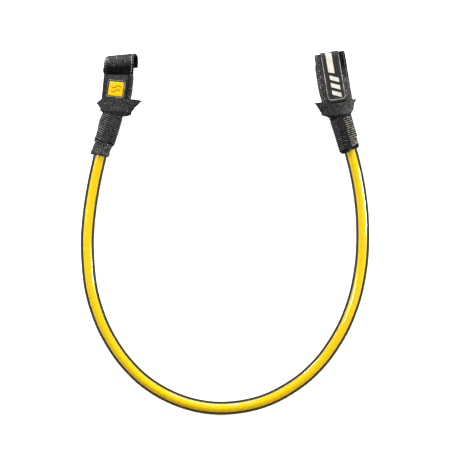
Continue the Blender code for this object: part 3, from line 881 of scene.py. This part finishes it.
def strap_surface(spec, lines, start, stop, lift=0.0, half=STRAP_W / 2, round_end=0.0,
                  centre=0.0):
    """The strap's middle face from start to stop along it, or a band lift mm off it, half mm
    to each side of centre. Round_end is how far the band narrows towards its start."""
    path, run, root, _ = lines

    def surface(s, t):
        dist = start + (stop - start) * t
        p = at_run(path, run, dist)
        d = at_run(path, run, dist + 0.4) - at_run(path, run, dist - 0.4)
        d /= np.maximum(np.linalg.norm(d, axis=-1, keepdims=True), 1e-9)
        wide = half
        if round_end:
            near = np.clip((dist - start) / round_end, 0, 1)
            wide = half * (0.72 + 0.28 * np.sqrt(np.clip(1 - (1 - near) ** 2, 0, 1)))
        loose = ramp(dist - root, 21, 29.5) * (1 - 0.65 * ramp(dist - root, 30, 42))
        if half == STRAP_W / 2:
            wide = wide + spec["margin"](dist - root, s)
        v = (centre + wide * s + spec["strap_shift"] * np.clip((dist - root) / 8.0, 0, 1)
             - spec["strap_slide"] * loose)
        skew = spec["strap_skew"] * v * np.clip((p[..., 0] - 20.0) / 15.0, 0, 1)
        w = p[..., 1] + lift * d[..., 0]
        turned = np.radians(spec["strap_twist"]) * loose
        c, q = np.cos(turned), np.sin(turned)
        return v * c + w * q, p[..., 0] - lift * d[..., 1] + skew, w * c - v * q
    return surface


def neck_section(u, neck_len):
    """Half the neck's width and depth at u: round below, flatter at the collar."""
    f = ramp(u + neck_len, 16, 36)
    return 7.5 + 0.5 * f, 6.35 - 3.15 * f


def neck_surface(spec, u0, u1, lift, centre_angle, span):
    """Round the neck's oval, which turns about its length below the collar."""
    def surface(s, t):
        u = u1 + (u0 - u1) * t
        a_half, b_half = neck_section(u, spec["neck_len"])
        a = np.radians(centre_angle + s * span)
        nx, nz = np.cos(a) * b_half, np.sin(a) * a_half
        n = np.hypot(nx, nz)
        v, w = np.cos(a) * a_half + lift * nx / n, np.sin(a) * b_half + lift * nz / n
        turn = np.radians(spec["neck_twist"]) * ramp(-u, 8, 22)
        v, w = v * np.cos(turn) + w * np.sin(turn), w * np.cos(turn) - v * np.sin(turn)
        low = ramp(-u, 31.5, 36)
        v = v * (1 + spec["neck_flare"] * (v < 0) * (1 - ramp(-u, 14, 26)))
        return (v + spec["cuff_shift"] * low,
                u + (spec["cuff_skew"] * v - spec["cuff_drop"]) * low, w)
    return surface


def one_point(surface, t):
    """A surface's point on its middle line, as plain numbers."""
    return [float(c) for c in surface(np.array(0.0), np.array(t))]


def ride(piece, body, nodes):
    """The piece rides on the body and stands for the nodes, which are hidden."""
    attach(piece, body)
    if nodes:
        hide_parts(*nodes)
    return piece


def build_neck(side, spec, neck):
    pre = side + "_"
    length = spec["neck_len"]
    front_end, back_end = spec["ply_ends"]
    round_way = 2 * math.pi * 7.0

    sleeve = neck_surface(spec, -length, -5.6, -0.3, 0.0, 180.0)
    ride(cloth(pre + "neck_cuff", neck, sleeve, (round_way, length - 5.6), 0.6, (0.5, 0.5),
               CUFF_CLOTH[side], weave((1.7, 1.7), 0.08), wrap=True),
         "line", [pre + "neck_sleeve"])

    # A rolled hem closes the cuff round the tube
    def hem(s, t):
        lift = 0.1 - 1.3 * np.clip(t, 0, 1) ** 3
        return neck_surface(spec, -length - 0.6, -length + 2.4, lift, 0.0, 180.0)(s, t)

    ride(cloth(pre + "neck_cuff_hem", neck, hem, (round_way, 3.0), 1.1, (0.5, 0.3),
               CUFF_CLOTH[side], weave((1.7, 1.7), 0.06), wrap=True),
         "line", [])

    for face, middle, end in (("front", 90.0, front_end), ("back", 270.0, back_end)):
        centre = middle + spec["rib_turn"]
        top = neck_surface(spec, end, -5.7, 0.9, centre, 70.0)
        ride(cloth(f"{pre}neck_{face}_webbing", neck, top, (17.0, -5.7 - end), PLY_T,
                   (0.4, 0.4), WEBBING[side], weave((1.8, 1.8), 0.12)),
             "line", [f"{pre}neck_{face}_ply"])
        start = -8.4 if face == "front" else -11.4
        for edge, offset in (("inner", -44.0), ("outer", 44.0)):
            # A near-black sheet under each column of ribs: painted shade between the threads
            bed = neck_surface(spec, end + 0.3, start, 1.5, centre + offset, 24.0)
            ride(cloth(f"{pre}rib_bed_{face}_{edge}", neck, bed, (5.0, start - end - 0.3), 0.4,
                       (0.6, 0.8), RIB_SHADE_CLOTH), "line", [])
            ribs = []
            span = 23.0
            lean = 0.5 if side == "left" else -0.3
            for k in range(int((start - end - 0.6) / RIB_PITCH) + 1):
                rib = []
                for across in np.linspace(-1, 1, 7):
                    u = start - 0.4 - k * RIB_PITCH + lean * across
                    surf = neck_surface(spec, u, u, 2.15 - 0.5 * across ** 4,
                                        centre + offset, span)
                    rib.append([float(c) for c in surf(np.array(across), np.array(0.0))])
                ribs.append(rib)
            ride(thread_lines(f"{pre}ribs_{face}_{edge}", neck, ribs, 0.4,
                              RIB_THREADS[side][edge]),
                 "line", [f"{pre}bartack_{face}_{edge}"])


def build_collar(side, spec, head):
    pre = side + "_"
    ear_p, ear_n = spec["ear_pos"], spec["ear_neg"]

    def collar_back(s, t):
        plus = s > 0
        ear = [np.where(plus, ear_p[k], ear_n[k]) for k in range(3)]
        low = np.where(plus, 13.2, -10.0)
        m = np.abs(s)
        flare = np.clip(t, 0, None) ** 1.7
        v = m * (low + (ear[0] - low) * flare)
        u_bottom = -8.0 + np.where(plus, 1.6, 0.9) * s * s
        u_top = 2.0 + (ear[1] - 2.0) * m ** 1.7
        u = u_bottom + (u_top - u_bottom) * t
        w_mid = -6.5 - 0.4 * t
        w_edge = -3.4 + (ear[2] - 0.9 + 3.4) * flare
        return v, u, w_mid + (w_edge - w_mid) * m ** 2.6

    ride(cloth(pre + "collar_back", head, collar_back, (34.0, 11.5), PLY_T, (0.45, 0.45),
               COLLAR_CLOTH[side], weave((1.8, 3.6), 0.14)),
         "line", [pre + "collar_back_ply"])

    def collar_front(s, t):
        plus = s > 0
        sign = np.where(plus, 1.0, -1.0)
        ear = [np.where(plus, ear_p[k], ear_n[k]) for k in range(3)]
        t = np.clip(t, 0, None)
        u_bottom, face_top = -5.4, 5.9
        f = s / 0.6
        v_face = f * np.where(plus, 12.4, 10.6)
        w_face = 5.9 - 0.9 * t - 0.9 * np.abs(f) ** 3
        u_face = u_bottom + (face_top - u_bottom) * t
        g = np.clip((np.abs(s) - 0.6) / 0.4, 0, None)
        v0 = np.where(plus, 12.4, -10.6)
        reach = v0 + (ear[0] - 0.9 * sign - v0) * (0.2 + 0.8 * t ** 1.3)
        v_side = v0 + (reach - v0) * g
        top = face_top + (ear[1] - 0.1 - face_top) * g ** 0.8
        u_side = u_bottom + (top - u_bottom) * t
        w0 = 5.0 - 0.9 * t
        w1 = -0.6 + (ear[2] + 1.1 + 0.6) * t
        w_side = w0 + (w1 - w0) * g
        face = np.abs(s) <= 0.6
        return (np.where(face, v_face, v_side), np.where(face, u_face, u_side),
                np.where(face, w_face, w_side))

    ride(cloth(pre + "collar_front", head, collar_front, (38.0, 11.3), PLY_T, (0.45, 0.45),
               COLLAR_CLOTH[side], weave((1.8, 3.6), 0.14)),
         "line", [pre + "collar_front_band"])

    # A gathered lining closes the collar's mouth round the neck
    def lining(s, t):
        a = math.pi * s
        plus = np.cos(a) > 0
        front = np.sin(a) > 0
        wide = 8.6 + (np.where(plus, 13.2, 11.3) - 8.6) * t
        deep = 4.4 + (np.where(front, 5.3, 5.6) - 4.4) * t
        pleat = 0.12 * np.sin(22 * a)
        square = 1 - 0.4 * np.where(front, np.clip(t, 0, 1), 0)
        v = np.sign(np.cos(a)) * np.abs(np.cos(a)) ** square
        w = np.sign(np.sin(a)) * np.abs(np.sin(a)) ** square
        return (wide + pleat) * v, -7.9 + 3.4 * t, (deep + pleat) * w

    ride(cloth(pre + "collar_lining", head, lining, (46.0, 4.2), 0.7, (0.5, 0.4),
               COLLAR_CLOTH[side], wrap=True), "line", [])


def build_strap(side, spec, head):
    pre = side + "_"
    lines = strap_lines(spec)
    path, run, root, crest = lines
    start = run[int(np.argmax(path[:, 0] >= -2.6))]
    split = root + 17.0
    lower = cloth(pre + "strap_lower", head, strap_surface(spec, lines, start, split),
                  (STRAP_W, split - start), STRAP_T, (0.4, 0.4), STRAP_CLOTH[side],
                  weave((1.8, 1.8), 0.1), cut=(False, True))
    upper = cloth(pre + "strap_upper", head, strap_surface(spec, lines, split, run[-1]),
                  (STRAP_W, run[-1] - split), STRAP_T, (0.4, 0.4), STRAP_CLOTH[side],
                  weave((1.8, 1.8), 0.1), cut=(True, False), uv_at=(0.0, split - start))
    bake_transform(lower)
    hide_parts(pre + "strap_root")
    # The crown opens over the last few millimetres before the crest and after it
    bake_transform(upper)
    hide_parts(pre + "boom_strap", pre + "strap_tail")

    # Topstitching along both margins of the face that the flap covers and of the back
    def seam(v, first, last, lift, count=40):
        at = strap_surface(spec, lines, first, last, lift, 1.0, centre=v)
        return [one_point(at, t) for t in np.linspace(0, 1, count)]

    face = STRAP_T / 2 + THREAD_CLEARANCE
    top_end = crest - 3.2
    ride(stitch_lines(pre + "strap_seam_bright", head,
                      [seam(11.2, root + 23.0, top_end, face)], EDGE_THREAD, 2.4, 2.0, 0.3),
         side + "_strap", [])
    ride(stitch_lines(pre + "strap_seams", head,
                      [seam(-11.2, root + 23.0, top_end, face),
                       seam(-11.2, root + 1.5, top_end, -face),
                       seam(11.2, root + 1.5, top_end, -face)], DARK_THREAD, 2.4, 2.0, 0.28),
         side + "_strap", [])

    # Moulded grip badge down the strap's back: raised rims and a sunk middle
    gap = -(STRAP_T / 2 + 0.4 + 0.55)
    foot = root + BADGE_FOOT
    top = foot + BADGE_LEN

    def badge_relief(x, y, side_sign):
        rim = np.clip((np.abs(x) - 5.9) / 0.5, 0, 1)
        sill = np.clip((2.6 - y) / 0.6, 0, 1)
        raised = np.maximum(rim, sill)
        return np.where(side_sign < 0, 0.35 * raised - 0.1, 0.0)

    badge = strap_surface(spec, lines, foot, top, gap, 7.6, 3.5)
    ride(cloth(pre + "grip_badge_moulding", head, badge, (15.2, BADGE_LEN), 1.1, (0.3, 0.6),
               BADGE_GREY, badge_relief),
         side + "_strap", [pre + "grip_badge"])

    def on_badge(v, y, lift):
        """A point on the badge's outer face, v across and y up from its foot."""
        return one_point(strap_surface(spec, lines, foot, top, lift, 1.0, centre=v),
                         y / BADGE_LEN)

    edge = [(-7.0, y) for y in np.linspace(40.5, 4.6, 25)]
    edge += [(-6.6, 3.3), (-5.6, 2.5)] + [(v, 2.2) for v in np.linspace(-4.4, 4.4, 7)]
    edge += [(5.6, 2.5), (6.6, 3.3)] + [(7.0, y) for y in np.linspace(4.6, 40.5, 25)]
    ride(thread_lines(pre + "grip_badge_bead", head,
                      [[on_badge(v, y, gap - 0.6) for v, y in edge]], 0.36, RIM_GREY, 8),
         side + "_strap", [])

    # Plain slanted bars inlaid in the badge
    inlay = gap - 0.55
    for k, (y0, y1, wide, at, slant) in enumerate((
            (5.0, 8.6, 3.6, -0.6, 1.6), (11.2, 14.8, 3.6, -0.6, 1.6),
            (17.4, 21.0, 3.6, -0.6, 1.6), (24.4, 40.2, 2.5, 1.0, 0.8))):
        def bar(s, t, y0=y0, y1=y1, wide=wide, at=at, slant=slant):
            dist_t = (y0 + (y1 - y0) * t + slant * s) / BADGE_LEN
            return strap_surface(spec, lines, foot, top, inlay, wide, centre=at)(s, dist_t)
        ride(cloth(f"{pre}grip_badge_bar_{k}", head, bar, (2 * wide, y1 - y0), 0.3,
                   (0.5, 0.5), PRINT_WHITE), side + "_strap", [])


def build_flap(side, spec, head):
    pre = side + "_"
    flap = side + "_flap"
    tall = PANEL_LIP_U - FLAP_FOOT_U

    def panel(s, t):
        return (-0.7 + FLAP_W / 2 * s, FLAP_FOOT_U + tall * t,
                2.75 - 0.25 * s ** 4 + 0 * t)

    cover = cloth(pre + "flap_panel", head, panel, (FLAP_W, tall), PANEL_T - 0.1, (0.4, 0.4),
                  FLAP_CLOTH, weave((1.2, 1.2), 0.06))
    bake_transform(cover)
    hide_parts(pre + "front_flap")

    at, turn = (2.3, 13.4), math.radians(-3.5)
    outer = (17.4, 14.3)
    ride(moulded(pre + "badge_backing", head, outer,
                 [(0.2, 3.85), (0.0, 3.95), (0.0, 4.5), (0.15, 4.62)], FRAME_RUBBER, 1.4, at,
                 turn), flap, [pre + "badge_base"])
    ride(moulded(pre + "badge_rim", head, outer,
                 [(0.0, 4.5), (0.0, 5.15), (0.18, 5.4), (0.6, 5.52), (1.05, 5.4), (1.38, 5.1),
                  (1.42, 4.6)], FRAME_RUBBER, 1.6, at, turn, ring=True),
         flap, [pre + "badge_frame"])
    ride(moulded(pre + "badge_square", head, (14.2, 11.6),
                 [(0.0, 4.6), (0.0, 5.0), (0.1, 5.15), (0.4, 5.24), (2.4, 5.3)],
                 RUBBER_YELLOW, 0.6, at, turn), flap, [pre + "badge_insert"])

    # A pale bead runs round the frame's outer edge, a painted highlight on it, and two plain waves
    # lie on the square
    c, s = math.cos(turn), math.sin(turn)

    def on_frame(x, y, z):
        return x * c - y * s + at[0], x * s + y * c + at[1], z

    outline = rounded_outline(outer[0] - 0.7, outer[1] - 0.7, 1.3)
    loop = [on_frame(x, y, 5.4) for x, y in np.vstack([outline, outline[:1]])]
    ride(thread_lines(pre + "badge_rim_bead", head, [loop], 0.24, FRAME_HIGHLIGHT_BEAD, 8), flap, [])
    waves = [[on_frame(x, rise + 1.1 * math.sin(x * 2 * math.pi / 9.2), 5.27)
              for x in np.linspace(-4.6, 4.6, 25)] for rise in (-1.7, 1.7)]
    ride(thread_lines(pre + "badge_waves", head, waves, 0.3, INK, 8), flap, [])


def build_closure(side, spec, head):
    """The two halves of the closure: a patch of stiff hooks and a patch of soft loops."""
    pre = side + "_"
    out = head.to_3x3() @ Vector((0, 0, 1))
    rnd = random.Random(7)
    middle_u = 15.0
    for half, body, node, low, high, facing, tall in (
            ("hook", side + "_strap", "strap_hook_patch", 0.2, 0.7, 1, 0.45),
            ("loop", side + "_flap", "flap_loop_patch", 1.25, 1.75, -1, 0.3)):
        ride(moulded(f"{pre}{half}_backing", head, (21.0, 14.5),
                     [(0.2, low), (0.0, low + 0.1), (0.0, high - 0.1), (0.2, high)], PILE,
                     1.5, (0, middle_u)), body, [pre + node])
        top = high if facing > 0 else low
        points = []
        for i in range(22):
            for j in range(16):
                x = -9.6 + 19.2 * i / 21 + rnd.uniform(-0.15, 0.15)
                y = middle_u - 6.5 + 13.0 * j / 15 + rnd.uniform(-0.15, 0.15)
                points.append((x, y, top - 0.05 * facing))
        world = to_world(head, np.array(points))
        ride(grow(f"{pre}{half}_pile", PILE_TREE, [tuple(p) for p in world], [],
                  {"Height": tall * MM, "Radius": 0.14 * MM, "Lean": 0.4,
                   "Facing": tuple(out * facing), "Seed": 3, "Pile": PILE}),
             body, [])


for side_name, side_spec in TERMINALS.items():
    shift = Matrix.Translation((-LAYOUT_ORIGIN[0], -LAYOUT_ORIGIN[1], 0))
    head_at = shift @ Matrix.Translation(side_spec["collar"]) @ (
        Matrix.Rotation(math.radians(side_spec["lean"]), 4, "Z")
        @ Matrix.Rotation(math.radians(side_spec["pitch"]), 4, "X")
        @ Matrix.Rotation(math.radians(side_spec["roll"]), 4, "Y"))
    neck_drop = side_spec["collar"][2] - side_spec["neck_bottom_z"]
    neck_place = shift @ Matrix.Translation((*side_spec["neck_at"], side_spec["collar"][2])) @ (
        Matrix.Rotation(math.radians(side_spec["neck_lean"]), 4, "Z")
        @ Matrix.Rotation(math.asin(neck_drop / side_spec["neck_len"]), 4, "X")
        @ Matrix.Rotation(math.radians(side_spec["roll"]), 4, "Y"))
    build_neck(side_name, side_spec, neck_place)
    build_collar(side_name, side_spec, head_at)
    build_strap(side_name, side_spec, head_at)
    build_flap(side_name, side_spec, head_at)
    build_closure(side_name, side_spec, head_at)
    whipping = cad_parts[side_name + "_rope_whipping"]
    whipping.data.materials.clear()
    whipping.data.materials.append(TWINE)


# ---------------------------------------------------------------- floor and lights

def lay_floor():
    mesh = bpy.data.meshes.new("floor")
    corners = ((-1, -1), (1, -1), (1, 1), (-1, 1))
    mesh.from_pydata([(x * FLOOR_HALF, y * FLOOR_HALF, FLOOR_Z) for x, y in corners], [],
                     [(0, 1, 2, 3)])
    mesh.materials.append(matt_floor("matt_white_floor"))
    floor = bpy.data.objects.new("floor", mesh)
    bpy.context.scene.collection.objects.link(floor)


lay_floor()
world = bpy.data.worlds.new("studio")
world.use_nodes = True
world.node_tree.nodes["Background"].inputs[0].default_value = (1.0, 1.0, 1.0, 1.0)
world.node_tree.nodes["Background"].inputs[1].default_value = 0.30
bpy.context.scene.world = world
soft_box("left_box", (-0.62, 0.02, 0.80), (-0.05, 0.0, 0.0), (0.09, 0.36), 6.0)
soft_box("low_left_box", (-0.62, 0.42, 0.28), (0.05, -0.1, 0.0), (0.12, 0.20), 4.0)
soft_box("right_box", (0.95, -0.05, 0.45), (0.05, 0.0, 0.0), (0.09, 0.30), 11.0)
soft_box("far_box", (0.1, 0.95, 0.65), (0.0, 0.0, 0.0), (0.9, 0.35), 16.0)
bpy.context.scene.view_settings.view_transform = "Standard"
